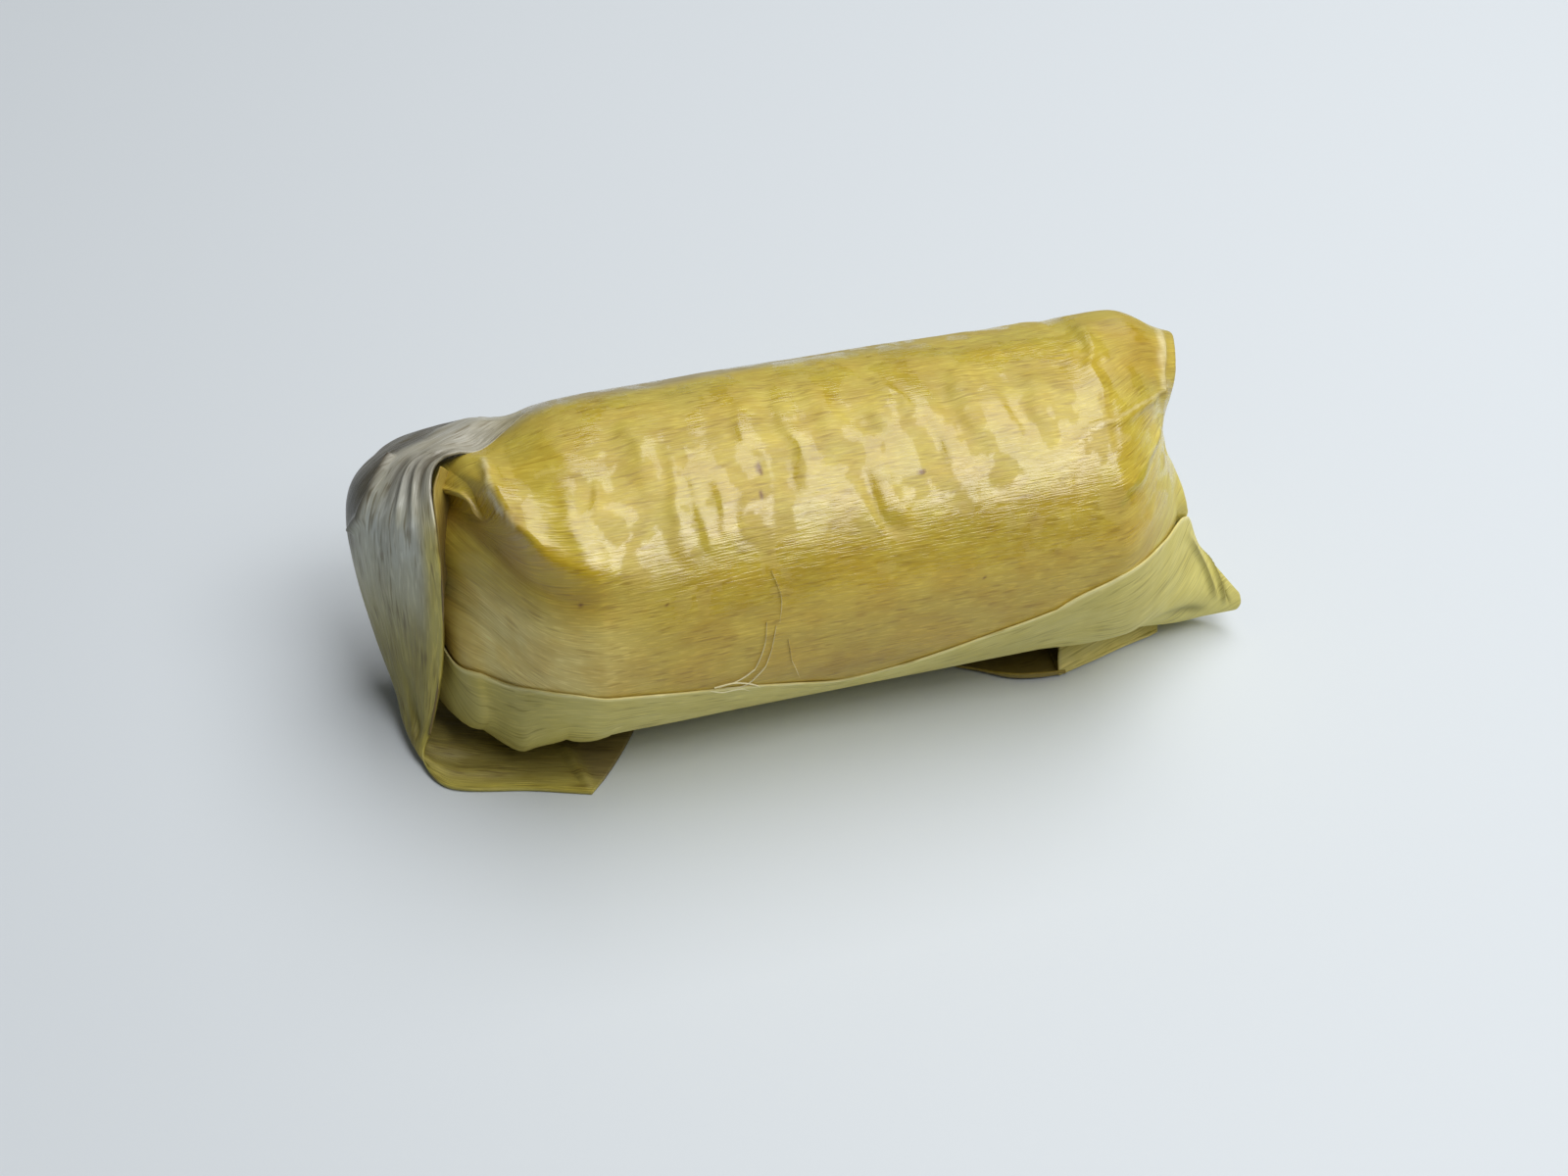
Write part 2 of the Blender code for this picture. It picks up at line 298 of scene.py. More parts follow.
rollRelief = {
    "lengthScale": 125.0,  # mm for each unit of s
    "roundScale": 0.39,  # mm for each degree
    "creases": (  # points (share of the length, degrees), half width and height in mm, lean
        (((0.16, 100), (0.155, 92), (0.148, 78), (0.15, 68), (0.161, 60), (0.178, 54), (0.202, 49.6)),
         0.7, 0.35),
        (((0.14, 96), (0.138, 86), (0.142, 76)), 1.2, -0.35),
        (((0.196, 96), (0.192, 80), (0.205, 66)), 2, 0.15),
        (((0.243, 76), (0.24, 64), (0.25, 52)), 1.3, 0.25, 0.7),
        (((0.233, 64), (0.239, 55), (0.252, 52)), 0.6, 0.15),
        (((0.29, 96), (0.292, 80), (0.284, 62)), 2.4, 0.3, 0.7),
        (((0.33, 84), (0.322, 68), (0.314, 48)), 1.5, 0.21, 0.6),
        (((0.352, 76), (0.352, 58), (0.356, 40)), 0.9, 0.14),
        (((0.376, 70), (0.374, 54), (0.372, 40)), 0.9, 0.14),
        (((0.398, 66), (0.396, 54), (0.392, 40)), 0.9, 0.13),
        (((0.426, 94), (0.42, 86), (0.41, 76)), 1.3, 0.3, 0.2),
        (((0.461, 110), (0.455, 98), (0.447, 78), (0.436, 62), (0.426, 46)), 1.5, -0.37, 0.35),
        (((0.469, 98), (0.462, 78), (0.455, 60)), 1.4, 0.21),
        (((0.492, 96), (0.49, 84), (0.484, 72)), 2.4, 0.3, 0.7),
        (((0.503, 64), (0.52, 51), (0.552, 36)), 1.3, -0.36, 0.3),
        (((0.526, 66), (0.545, 52), (0.566, 38)), 1.3, 0.24),
        (((0.556, 90), (0.552, 80), (0.545, 70)), 2.2, 0.27, 0.7),
        (((0.578, 96), (0.59, 80), (0.606, 64)), 0.8, 0.25),
        (((0.588, 80), (0.6, 66), (0.608, 48)), 1.4, -0.36, 0.3),
        (((0.655, 94), (0.66, 78), (0.652, 62)), 2.8, 0.33, 0.7),
        (((0.704, 96), (0.702, 78), (0.694, 58)), 1.6, 0.21),
        (((0.738, 92), (0.736, 78), (0.73, 62)), 2.2, 0.3, 0.7),
        (((0.77, 90), (0.768, 74), (0.764, 60)), 2, 0.18, 0.6),
        (((0.835, 110), (0.826, 96), (0.816, 80), (0.808, 66)), 1.1, 0.42),
        (((0.818, 78), (0.812, 62), (0.806, 46)), 0.8, -0.3, 0.3),
        (((0.912, 80), (0.87, 68), (0.81, 62), (0.72, 57)), 0.9, 0.38, 0.3),
        (((0.64, 54), (0.636, 38)), 0.9, 0.15),
        (((0.668, 66), (0.664, 52)), 1, 0.13),
        (((0.85, 106), (0.874, 92), (0.886, 78)), 3, -0.9),
        (((0.905, 112), (0.903, 98), (0.897, 84), (0.896, 76), (0.903, 68), (0.912, 60)), 0.55, 0.6),
        (((0.795, 33), (0.812, 37), (0.836, 42), (0.866, 48), (0.915, 56)), 0.8, 0.27, 0.5),
        (((0.8, 20), (0.86, 22), (0.91, 28)), 2.4, 0.21),
        (((0.16, 150), (0.34, 146), (0.58, 149), (0.8, 152)), 1.6, 0.5, 0.6),
        (((0.24, 190), (0.42, 196), (0.66, 192)), 2.2, 0.4, 0.5),
        (((0.8, 128), (0.8, 165), (0.79, 205)), 2, -0.4, 0.3),
        (((0.86, 122), (0.88, 150), (0.87, 185)), 2.4, 0.6, 0.4),
        (((0.2, 130), (0.205, 160), (0.2, 200)), 2.2, -0.4, 0.3),
    ),
    "dry": (  # patches without a wet gloss: points, half width in mm
        (((0.1, 112), (0.118, 102), (0.134, 92), (0.146, 84)), 2.3),
        (((0.172, 103), (0.168, 92), (0.172, 82)), 0.9),
        (((0.205, 104), (0.222, 101), (0.24, 104)), 2.4),
        (((0.25, 72), (0.246, 62), (0.254, 54)), 0.95),
        (((0.288, 98), (0.29, 84), (0.284, 66)), 1.7),
        (((0.325, 82), (0.318, 66), (0.312, 50)), 1),
        (((0.345, 92), (0.34, 78)), 1.2),
        (((0.39, 92), (0.388, 78)), 1.4),
        (((0.461, 112), (0.453, 96), (0.445, 78), (0.433, 62), (0.424, 48)), 1.15),
        (((0.492, 98), (0.49, 84), (0.487, 74)), 1.7),
        (((0.502, 62), (0.518, 51), (0.548, 38)), 0.8),
        (((0.556, 92), (0.553, 82), (0.548, 74)), 2),
        (((0.586, 80), (0.598, 66), (0.606, 50)), 1),
        (((0.64, 92), (0.655, 78), (0.652, 64)), 2.2),
        (((0.676, 88), (0.672, 74)), 1.3),
        (((0.74, 90), (0.738, 76), (0.734, 64)), 1.8),
        (((0.772, 88), (0.77, 70)), 1.6),
        (((0.815, 74), (0.81, 60), (0.806, 50)), 0.6),
        (((0.85, 104), (0.874, 90), (0.886, 76)), 2.4),
        (((0.845, 84), (0.85, 72)), 1.4),
    ),
}


def onLeaf(s, degrees):
    # mm along and round the roll
    return s * rollRelief["lengthScale"], degrees * rollRelief["roundScale"]


def lineOnLeaf(line):
    return np.stack(onLeaf(*np.array(line).T), axis=-1)


def wandering(s, degrees):
    # mm along and round the roll, shifted to and fro so that the wrinkles' lines come out uneven
    away = between(0.17, 0.82, s, 0.05)
    sway = ripple(s * 26, degrees / 12, 44) + 0.5 * ripple(s * 64, degrees / 5, 45)
    x = s * rollRelief["lengthScale"] + away * sway
    y = degrees * rollRelief["roundScale"] + away * 1.6 * ripple(s * 24, degrees / 10, 46)
    return x, y


def reliefOfRoll(s, angle):
    relief = rollRelief
    degrees = turned(angle, 70) + 70  # the cut in the angle lies underneath
    x, y = wandering(s, degrees)
    height = np.zeros(np.shape(s))
    for points, *widthHeightLean in relief["creases"]:
        height = height + creaseHeight(x, y, lineOnLeaf(points), *widthHeightLean)
    upper = ramp(30, 48, degrees) * (1 - 0.6 * ramp(108, 120, degrees))
    height = height + upper * 0.09 * ripple(x / 3.4 + y / 22, y / 9, 3)
    height = height + upper * 0.05 * ripple(x / 1.7, y / 3.5, 4)
    height = height + 0.1 * ripple(x / 16, y / 5.0, 5) + 0.02 * ripple(x / 7, y / 1.0, 6)
    depth = station(s)[1]
    below = ramp(1, 9, readOff(bandShape["hem"], s) - degrees)
    underneath = np.maximum(np.maximum(below, ramp(236, 246, degrees)), drop(-100, -90, degrees))
    return height * (1 - underneath) * drop(0.85, 0.98, depth)


def drynessOfRoll(s, angle):
    degrees = turned(angle, 70) + 70
    wobble = 1.1 * ripple(s * 90, degrees / 5, 41) + 0.5 * ripple(s * 220, degrees / 2.2, 42)
    x, y = wandering(s, degrees)
    dry = np.zeros(np.shape(s))
    for points, width in rollRelief["dry"]:
        away = lineAway(x, y, lineOnLeaf(points))[0]
        dry = np.maximum(dry, drop(0.85, 1.15, away / width + 0.6 * wobble))
    broken = ramp(0.15, 0.4, ripple(s * 34 + degrees / 40, degrees / 9, 43) + 0.35 * wobble)
    dry = np.maximum(dry, broken * ramp(70, 84, degrees))
    patchy = 0.7 * ripple(x / 4.2, y / 5.5, 47) + 0.5 * ripple(x / 1.9, y / 2.6, 48) + 0.25 * wobble
    dry = np.maximum(dry, ramp(0.36, 0.48, patchy))
    underLip = ramp(-6, 3, lipAngle(s) - degrees) * drop(0.24, 0.34, s)
    offTop = 1 - between(26, 126, degrees + 3 * wobble, 10)
    return np.maximum(np.maximum(dry, underLip), 0.85 * offTop)


# The folded left end: front edge, middle and back edge, from the roll's top down and in under it

leftFoldRows = (
    ((-27, 16.5, 37.6), (-37, 12, 40), (-44, 8.4, 40.4), (-49, 6.2, 39.6), (-52.5, 4.2, 37.6),
     (-53.3, -2, 32), (-53.6, -4.5, 24), (-54.4, -5.8, 14), (-56.3, -7, 5), (-58.2, -9.5, 1.4),
     (-55.5, -14.6, 0), (-46, -17.5, 0), (-38.2, -20.3, 0)),
    ((-27, 19, 35.4), (-37, 17, 37), (-44, 15, 37.4), (-51, 13, 36.6), (-57, 12, 34.4), (-61.5, 10, 29.5),
     (-62, 8.5, 21), (-60.9, 6, 12), (-59.6, 1, 4.5), (-58.8, -4, 1), (-52.5, -7, 0), (-44, -10, 0),
     (-31.8, -13.3, 0)),
    ((-27, 21, 33), (-37, 20.8, 33), (-44, 20.4, 32.8), (-51, 20.4, 32), (-56, 21, 29.6), (-59.3, 20.5, 25),
     (-59.3, 18.5, 17), (-59, 15, 9), (-58, 10, 3.5), (-56.5, 5, 0.8), (-50, 1, 0), (-42, -1, 0),
     (-25, -3, 0)),
)


def foldPlace(rows, v, u, floor):
    front, middle, back = (curveThrough(row, v) for row in rows)
    u = u[..., None]
    point = front * (1 - u) * (1 - 2 * u) + middle * 4 * u * (1 - u) + back * u * (2 * u - 1)
    point[..., 2] = np.maximum(point[..., 2], floor)
    return point


# Making meshes


def gridMesh(name, piece):
    # a flat grid whose UV map runs from 0 to 1 both ways, and its vertices' shares along and across
    bm = bmesh.new()
    bm.loops.layers.uv.new("fibre")
    bmesh.ops.create_grid(bm, x_segments=piece["columns"], y_segments=piece["rows"], size=0.5, calc_uvs=True)
    mesh = bpy.data.meshes.new(name)
    bm.to_mesh(mesh)
    bm.free()
    flat = np.zeros(len(mesh.vertices) * 3)
    mesh.vertices.foreach_get("co", flat)
    flat = flat.reshape(-1, 3) + 0.5
    return mesh, flat[:, 0], flat[:, 1]


def setPlaces(mesh, points):
    mesh.vertices.foreach_set("co", ((points + homeShift) * 0.001).ravel())
    mesh.update()


def setTint(mesh, colours):
    layer = mesh.attributes.new("tint", "FLOAT_COLOR", "POINT")
    rgba = np.ones((len(colours), 4))
    rgba[:, :3] = np.clip(colours, 0.0, 1.0)
    layer.data.foreach_set("color", rgba.ravel())


def setDryness(mesh, values):
    layer = mesh.attributes.new("dryness", "FLOAT", "POINT")
    layer.data.foreach_set("value", np.full(len(mesh.vertices), values, float))


def setFibres(mesh, lengthwise, across):
    # the UV map in units of 100 mm, u along the fibres and v across them
    layer = mesh.uv_layers["fibre"]
    flat = np.zeros(len(layer.data) * 2)
    layer.data.foreach_get("uv", flat)
    flat = flat.reshape(-1, 2)
    layer.data.foreach_set("uv", np.stack((lengthwise(*flat.T), across(*flat.T)), axis=-1).ravel())


def dress(mesh, points, colours, lengthwise, across, dryness=1.0):
    setPlaces(mesh, points)
    setTint(mesh, colours)
    setDryness(mesh, dryness)
    setFibres(mesh, lengthwise, across)


def blendColours(piece, base, *layers):
    # each layer names one of the piece's colours and gives the share of it at every point
    for name, share in layers:
        share = np.clip(np.asarray(share), 0.0, 1.0)[..., None]
        base = base * (1 - share) + np.array(piece[name]) * share
    return base


def painted(piece, name, places, *layers):
    # one colour at all the places, and the layers over it
    return blendColours(piece, np.ones(np.shape(places) + (3,)) * np.array(piece[name]), *layers)


def closeSeams(mesh):
    bm = bmesh.new()
    bm.from_mesh(mesh)
    bmesh.ops.remove_doubles(bm, verts=bm.verts, dist=0.00001)
    bmesh.ops.recalc_face_normals(bm, faces=bm.faces)
    bm.to_mesh(mesh)
    return bm


def aboveFloor(points, height=0.0):
    points[:, 2] = np.maximum(points[:, 2], height)
    return points


def showPiece(mesh, finish, node=None, leaf=None, side=1.0):
    # side says where the leaf's thickness in mm goes, 1 outwards and -1 inwards
    piece = bpy.data.objects.new(mesh.name, mesh)
    bpy.context.scene.collection.objects.link(piece)
    mesh.materials.append(finish)
    mesh.shade_smooth()
    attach(piece, "root")
    if node:
        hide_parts(node)
    if leaf:
        wall = piece.modifiers.new("leaf thickness", "SOLIDIFY")
        wall.thickness = leaf * 0.001
        wall.offset = side


# Leaf finish: a tint painted on the mesh, broken up by streaks along the fibres


class NodeWeb:
    def __init__(self, name):
        self.material = bpy.data.materials.new(name)
        self.material.use_nodes = True
        self.tree = self.material.node_tree
        self.shader = self.tree.nodes["Principled BSDF"]

    def node(self, kind, settings=(), **inputs):
        made = self.tree.nodes.new(kind)
        for key, value in dict(settings).items():
            setattr(made, key, value)
        for key, value in inputs.items():
            self.feed(made.inputs[key.replace("_", " ")], value)
        return made

    def feed(self, socket, value):
        if isinstance(value, bpy.types.NodeSocket):
            self.tree.links.new(value, socket)
        else:
            socket.default_value = value

    def streaks(self, coordinates, alongScale, acrossScale, detail, low, high, shift):
        # thin random lines along u, as a share between 0 and 1
        mapped = self.node("ShaderNodeMapping", Vector=coordinates, Location=(shift, shift * 2.7, 0),
                           Scale=(alongScale, acrossScale, 1.0))
        noise = self.node("ShaderNodeTexNoise", {"noise_dimensions": "2D"}, Vector=mapped.outputs[0],
                          Scale=1.0, Detail=detail, Roughness=0.6)
        return self.spread(noise.outputs[0], low, high)

    def spread(self, value, low, high):
        made = self.node("ShaderNodeMapRange", {"interpolation_type": "SMOOTHSTEP"})
        for index, setting in enumerate((value, low, high, 0.0, 1.0)):
            self.feed(made.inputs[index], setting)
        return made.outputs[0]

    def maths(self, operation, first, second):
        made = self.node("ShaderNodeMath", {"operation": operation})
        self.feed(made.inputs[0], first)
        self.feed(made.inputs[1], second)
        return made.outputs[0]

    def mix(self, share, first, second, kind="MIX"):
        made = self.node("ShaderNodeMix", {"data_type": "RGBA", "blend_type": kind})
        for index, setting in ((0, share), (6, first), (7, second)):
            self.feed(made.inputs[index], setting)
        return made.outputs[2]

    def tinted(self, share, amount, first, colour):
        return self.mix(self.maths("MULTIPLY", share, amount), first, colour, "MULTIPLY")


streakKinds = {  # detail, where the noise starts and ends, shift
    "fine": (1.0, 0.34, 0.66, 0.0), "broad": (3.0, 0.34, 0.66, 3.1), "dark": (0.5, 0.52, 0.7, 7.7),
    "light": (0.5, 0.54, 0.72, 11.3), "grouped": (2.0, 0.4, 0.62, 5.3),
}


def leafFinish(name, look):
    web = NodeWeb(name)
    fibre = web.node("ShaderNodeUVMap", {"uv_map": "fibre"}).outputs[0]
    place = web.node("ShaderNodeTexCoord").outputs["Object"]
    tint = web.node("ShaderNodeAttribute", {"attribute_name": "tint"}).outputs["Color"]
    dryness = web.node("ShaderNodeAttribute", {"attribute_name": "dryness"}).outputs["Fac"]
    along, across, broadly = look["fineLong"], look["fineAcross"], look["broadAcross"]
    fine = web.streaks(fibre, along, across, *streakKinds["fine"])
    broad = web.streaks(fibre, along * 0.4, broadly, *streakKinds["broad"])
    dark = web.streaks(fibre, along, across * 0.8, *streakKinds["dark"])
    light = web.streaks(fibre, along * 1.6, across, *streakKinds["light"])
    grouped = web.streaks(fibre, along * 0.5, broadly * 0.6, *streakKinds["grouped"])
    dark = web.maths("MULTIPLY", dark, grouped)
    blotch = web.node("ShaderNodeTexNoise", Vector=place, Scale=look["blotchScale"], Detail=3.0).outputs[0]
    blotches = web.spread(blotch, 0.38, 0.64)
    colour = web.tinted(broad, look["broadShare"], tint, look["broadColour"])
    colour = web.tinted(blotches, look["blotchShare"], colour, look["blotchColour"])
    colour = web.tinted(dark, look["darkShare"], colour, look["darkColour"])
    colour = web.tinted(light, look["lightShare"], colour, look["lightColour"])
    web.feed(web.shader.inputs["Base Color"], colour)
    rough = web.maths("ADD", web.maths("MULTIPLY", fine, look["roughSpread"]), look["rough"])
    rough = web.maths("ADD", rough, web.maths("MULTIPLY", dryness, look["roughDry"]))
    web.feed(web.shader.inputs["Roughness"], rough)
    web.shader.inputs["IOR"].default_value = look["ior"]
    height = web.maths("ADD", fine, web.maths("MULTIPLY", broad, 0.8))
    bump = web.node("ShaderNodeBump", Height=height, Strength=1.0, Distance=look["bump"] * 0.001)
    web.feed(web.shader.inputs["Normal"], bump.outputs[0])
    return web.material


goldenLook = {
    "fineLong": 34.0, "fineAcross": 400.0, "broadAcross": 80.0, "blotchScale": 190.0,
    "broadColour": (0.9, 0.86, 0.76, 1.0), "broadShare": 0.7,
    "blotchColour": (0.92, 0.84, 0.62, 1.0), "blotchShare": 0.8,
    "darkColour": (0.68, 0.6, 0.44, 1.0), "darkShare": 0.65,
    "lightColour": (1.22, 1.26, 1.5, 1.0), "lightShare": 0.7,
    "rough": 0.13, "roughSpread": 0.1, "roughDry": 0.37, "ior": 1.7, "bump": 0.018,
}
paleLook = dict(goldenLook, **{
    "fineLong": 22.0, "fineAcross": 360.0, "broadAcross": 60.0,
    "broadColour": (0.92, 0.92, 0.86, 1.0), "blotchColour": (0.96, 0.94, 0.8, 1.0),
    "darkColour": (0.62, 0.58, 0.44, 1.0), "darkShare": 0.7,
    "lightColour": (1.25, 1.25, 1.3, 1.0), "lightShare": 0.5,
    "rough": 0.4, "roughSpread": 0.12, "roughDry": 0.08, "ior": 1.45,
})
greyLook = dict(goldenLook, **{
    "fineLong": 18.0, "fineAcross": 380.0, "broadAcross": 60.0,
    "broadColour": (0.8, 0.77, 0.7, 1.0), "blotchColour": (0.85, 0.82, 0.72, 1.0), "blotchShare": 0.6,
    "darkColour": (0.5, 0.44, 0.34, 1.0), "darkShare": 0.8,
    "lightColour": (1.35, 1.35, 1.4, 1.0), "lightShare": 0.6,
    "rough": 0.32, "roughDry": 0.1, "ior": 1.5, "bump": 0.025,
})
goldenFinish = leafFinish("golden leaf", goldenLook)
paleFinish = leafFinish("pale leaf", paleLook)
greyFinish = leafFinish("grey leaf", greyLook)
oliveFinish = leafFinish("olive leaf", dict(paleLook, fineLong=20.0, rough=0.38))


# The roll

rollPiece = {
    "columns": 300, "rows": 328, "finestFrom": -50.0, "finestTo": 125.0, "finestShare": 0.7,
    "golden": (0.58, 0.45, 0.055), "olive": (0.5, 0.42, 0.06), "tan": (0.58, 0.42, 0.05),
    # brown is the leaf's own brown and also paints shade under the hood's lip and beside the strip; amber
    # also paints shade in the hollow by the ear; orange paints shade under the lip
    "brown": (0.24, 0.125, 0.012), "amber": (0.46, 0.3, 0.018), "grey": (0.36, 0.32, 0.21),
    "lime": (0.74, 0.65, 0.14), "moss": (0.92, 0.76, 0.26), "orange": (0.53, 0.355, 0.008),
    # line colours: two pale ones are painted highlights, one dull brown one is painted shade under a ridge,
    # and a green one is a crease mark
    "speck": (0.17, 0.05, 0.008), "ridgeHighlight": (0.9, 0.8, 0.46), "furrowShade": (0.35, 0.25, 0.02),
    "green": (0.46, 0.38, 0.03), "crestHighlight": (0.95, 0.86, 0.52),
    "specks": (  # share of the length, degrees, size along and across in mm
        (0.416, 67, 0.45, 1.1), (0.411, 58, 0.3, 0.8), (0.584, 56.3, 0.6, 0.45), (0.293, 29.1, 0.22, 0.22),
        (0.211, 33.8, 0.25, 0.4), (0.338, 31, 0.2, 0.2), (0.636, 17, 0.25, 0.22)),
    "marksAndPaintedLight": (  # points, half width in mm, colour, share
        # painted highlights along the ear's crinkle and the diagonal ridge, and a painted shadow line under
        # that ridge
        (((0.906, 110), (0.903, 98), (0.897, 84), (0.896, 76)), 0.42, "ridgeHighlight", 0.6),
        (((0.912, 80), (0.88, 70), (0.84, 65), (0.79, 61)), 0.22, "ridgeHighlight", 0.4),
        (((0.905, 77), (0.88, 67.5), (0.85, 63)), 0.22, "furrowShade", 0.6),
        (((0.8, 34), (0.812, 37), (0.836, 42), (0.866, 48), (0.912, 56)), 0.45, "green", 0.75),
        # a painted highlight along the crest
        (((0.155, 94), (0.148, 78), (0.15, 68), (0.161, 60)), 0.3, "crestHighlight", 0.5)),
    "fibreLabel": 0.0039,  # the UV map's v for each degree round the roll
}


def angleOf(share):
    # more rows over the shown front and top than underneath and behind
    piece = rollPiece
    low, high, part = piece["finestFrom"], piece["finestTo"], piece["finestShare"]
    fine = low + share / part * (high - low)
    rest = high + (share - part) / (1 - part) * (360 - high + low)
    return np.radians(np.where(share < part, fine, rest))


def fibreAcross(s, angle):
    # the fibres rise towards the right end and run level over the front at the left one
    degrees, perDegree = turned(angle, 70) + 70, rollPiece["fibreLabel"]
    front = drop(85, 120, degrees)
    label = (degrees - 19 * ramp(0.79, 0.94, s) * front) * perDegree
    known = np.linspace(-60, 78, 70)
    level = rollSkin(np.full(70, 0.21), np.radians(known))[:, 2]
    levelLabel = np.interp(rollSkin(s, angle)[..., 2], level, known * perDegree)
    weight = drop(0.13, 0.21, s) * ramp(-2, 12, lipAngle(s) - degrees) * ramp(-80, -55, degrees)
    return label * (1 - weight) + levelLabel * weight


def tintOfRoll(s, angle):
    piece = rollPiece
    degrees = turned(angle, 70) + 70
    x, y = onLeaf(s, degrees)
    below = lipAngle(s) - degrees
    # painted shade in brown: under the hood's lip, over the leaf's own brown there, and on the front where
    # the roll turns in beside the strip
    pocket = ramp(-12, -4, below) * drop(3, 22, below) * between(0.09, 0.15, s, 0.03)
    shadeBesideStrip = drop(0.066, 0.1, s + 0.02 * drop(10, 60, degrees)) * drop(95, 105, degrees)
    lower = drop(0.16, 0.3, s) * ramp(0.05, 0.1, s) * drop(12, 40, degrees)
    # painted shade just under the hood's lip, in orange
    shadeUnderLip = between(0.12, 0.22, s, 0.035) * ramp(-12, -3, below) * drop(2, 16, below)
    ridge = ramp(111, 120, degrees + 5 * ripple(s * 9, degrees * 0, 8)) * drop(0.34, 0.8, s)
    ridge = ridge * (1 - 0.6 * ramp(140, 185, degrees + 8 * ripple(s * 7, degrees * 0, 12)))
    ridge = np.maximum(ridge, ramp(105, 114, degrees) * drop(0.14, 0.26, s))
    base = painted(
        piece, "golden", s,
        ("tan", 0.9 * drop(14, 48, degrees + 7 * ripple(s * 11, degrees * 0, 7))),
        ("amber", 0.7 * hump(s, 0.49, 0.14) * hump(degrees, -17, 15)),
        ("olive", 0.55 * ramp(88, 112, degrees)),
        ("lime", 0.85 * ramp(0.8, 0.9, s) * drop(48, 66, degrees)),
        ("lime", 0.5 * hump(s, 0.9, 0.04) * hump(degrees, 60, 16)),
        # painted shade in the hollow beside the ear
        ("amber", 0.75 * hump(s, 0.875, 0.028) * hump(degrees, 92, 15)),
        # painted shade in brown under the lip and beside the strip
        ("brown", 0.9 * np.maximum(pocket, 0.7 * shadeBesideStrip)),
        # the orange layer is painted shade under the lip
        ("moss", 0.85 * lower), ("orange", 0.8 * shadeUnderLip), ("grey", 0.85 * ridge))
    uneven = 0.5 * ripple(s * 150, degrees / 3, 10)
    # lines of colour: painted highlights along ridges and the crest, a painted shadow line, and a green
    # crease mark
    for line, half, name, share in piece["marksAndPaintedLight"]:
        away = lineAway(x, y, lineOnLeaf(line))[0]
        base = blendColours(piece, base, (name, share * drop(0.5, 1.5, away / half + uneven)))
    for atS, atDegrees, along, across in piece["specks"]:
        atX, atY = onLeaf(atS, atDegrees)
        away = np.hypot((x - atX) / along, (y - atY) / across)
        base = blendColours(piece, base, ("speck", 0.85 * drop(0.5, 1.2, away)))
    return base * (1 + 0.09 * ripple(s * 16, degrees / 7, 9))[..., None]


def makeRoll(piece):
    mesh, s, share = gridMesh("rollSkin", piece)
    angle = angleOf(share)
    points = rollSkin(s, angle) + rollOutwards(s, angle) * reliefOfRoll(s, angle)[:, None]
    dress(mesh, aboveFloor(points), tintOfRoll(s, angle), lambda a, b: station(a)[0] * 0.01,
          lambda a, b: fibreAcross(a, angleOf(b)), drynessOfRoll(s, angle))
    closed = closeSeams(mesh)
    showPiece(mesh, goldenFinish, "wrapped_roll")
    return BVHTree.FromBMesh(closed)


print("roll")
rollTree = makeRoll(rollPiece)


def layOnRoll(points, weight, lift):
    # draws points towards the nearest place on the roll, lift mm outside it
    laid = points.copy()
    for index in np.flatnonzero(weight > 0.001):
        place, normal = rollTree.find_nearest(Vector((points[index] + homeShift) * 0.001))[:2]
        target = np.array(place) * 1000 - homeShift + np.array(normal) * lift[index]
        laid[index] += (target - points[index]) * weight[index]
    return laid


# The hood: the top leaf's free edge, which stands over the front one at the left end

hoodPiece = {
    "columns": 130, "rows": 110, "from": 0.062, "to": 0.162, "top": 124.0, "leaf": 0.32,
    "overhang": 1.5,  # degrees past the lip's line
    "lift": 0.16, "sinks": 0.7, "edge": (0.44, 0.31, 0.04), "edgeShare": 0.55,
    "curl": (0.55, 0.45), "dip": (0.28, 1.1, 0.7),  # in mm: height and reach; height, place and width
}


def hoodShares(v, u):
    piece = hoodPiece
    s = piece["from"] + v * (piece["to"] - piece["from"])
    lip = lipAngle(s) - piece["overhang"]
    return s, lip + (piece["top"] - lip) * u**1.5


def makeHood(piece):
    mesh, v, u = gridMesh("hood", piece)
    s, degrees = hoodShares(v, u)
    angle = np.radians(degrees)
    fromEdge = (degrees - lipAngle(s) + piece["overhang"]) * rollRelief["roundScale"]
    (rise, reach), (sag, sagAt, sagWidth) = piece["curl"], piece["dip"]
    curl = rise * np.exp(-fromEdge / reach) - sag * hump(fromEdge, sagAt, sagWidth)
    sink = np.maximum(ramp(0.6, 0.9, u), np.maximum(ramp(0.106, 0.144, s), drop(0.058, 0.075, s)))
    lift = piece["lift"] - piece["sinks"] * sink - curl * (1 - sink)
    lift = lift + 0.16 * (1 - sink) * ripple(s * 150, fromEdge / 5, 51) * np.exp(-fromEdge / 2.5)
    lift = lift + reliefOfRoll(s, angle)
    points = rollSkin(s, angle, True) + rollOutwards(s, angle, True) * lift[:, None]
    base = tintOfRoll(s, np.radians(np.maximum(degrees, lipAngle(s) + 14)))
    base = blendColours(piece, base, ("edge", piece["edgeShare"] * np.exp(-fromEdge / 1.6)))
    dress(mesh, points, base, lambda a, b: station(hoodShares(a, b)[0])[0] * 0.01,
          lambda a, b: fibreAcross(hoodShares(a, b)[0], np.radians(hoodShares(a, b)[1])),
          np.maximum(drynessOfRoll(s, angle), 0.5 * np.exp(-fromEdge / 0.5)))
    showPiece(mesh, goldenFinish, None, piece["leaf"], -1.0)


print("hood")
makeHood(hoodPiece)


# The band and its tail

